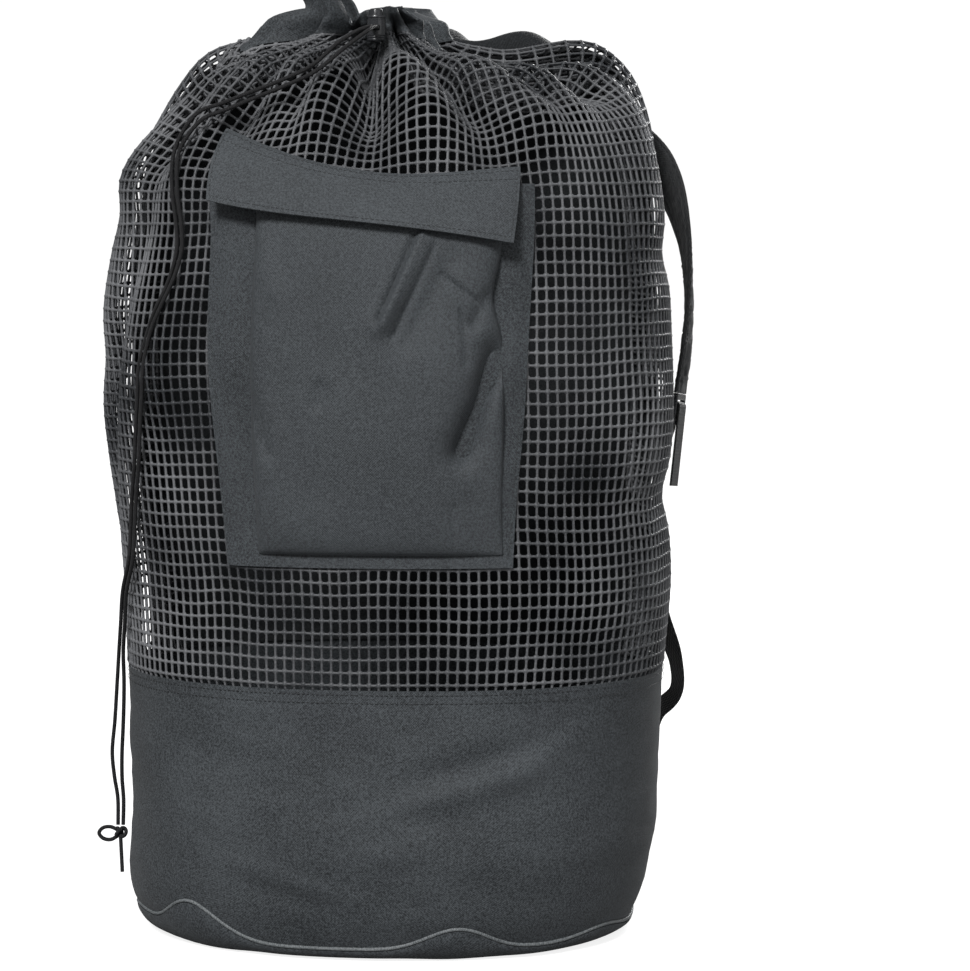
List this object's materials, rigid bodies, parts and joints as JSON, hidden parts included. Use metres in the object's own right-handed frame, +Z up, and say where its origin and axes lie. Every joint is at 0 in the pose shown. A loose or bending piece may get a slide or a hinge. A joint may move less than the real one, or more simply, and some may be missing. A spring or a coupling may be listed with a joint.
{
  "type": "mesh dive gear bag",
  "caption": "Drawstring mesh backpack for wet dive gear: net body, solid cloth foot, flapped front pocket, gathered mouth with a cord lock, and two padded shoulder straps.",
  "frame": {"origin": "the middle of the flat underside of the base, on the floor", "axes": "+Z up to the mouth, -Y to the pocket's side, +X to the right as seen from the pocket's side"},
  "size_m": [0.4539, 0.3281, 0.7138],
  "materials": {
    "net": "coated polyester net, satin",
    "cloth": "coated woven cloth, matte",
    "trim": "piping, satin",
    "webbing": "woven webbing, matte",
    "cord": "braided cord, satin",
    "plastic": "moulded, glossy"
  },
  "bodies": {
    "bag": {"base_panel": "cloth", "bottom_piping": "trim", "lower_band": "cloth", "net_body": "net", "back_panel": "cloth", "hem_collar": "cloth", "front_patch": "cloth", "front_pocket": "cloth", "pocket_flap": "cloth", "cord_lock_body": "plastic", "drawcord_tail_a": "cord", "drawcord_tail_b": "cord", "cord_knot": "cord", "strap_yoke": "cloth", "strap_pad_right": "webbing", "ladder_lock_right": "plastic", "strap_web_right": "webbing", "strap_pad_left": "webbing", "ladder_lock_left": "plastic", "strap_web_left": "webbing"},
    "plunger": {"cord_lock_plunger": "plastic"}
  },
  "joints": [
    {"name": "plunger_press", "type": "slide", "parent": "bag", "child": "plunger", "axis": [0, 0, -1], "range_m": [0, 0.004], "stiffness_N_per_m": 500}
  ]
}
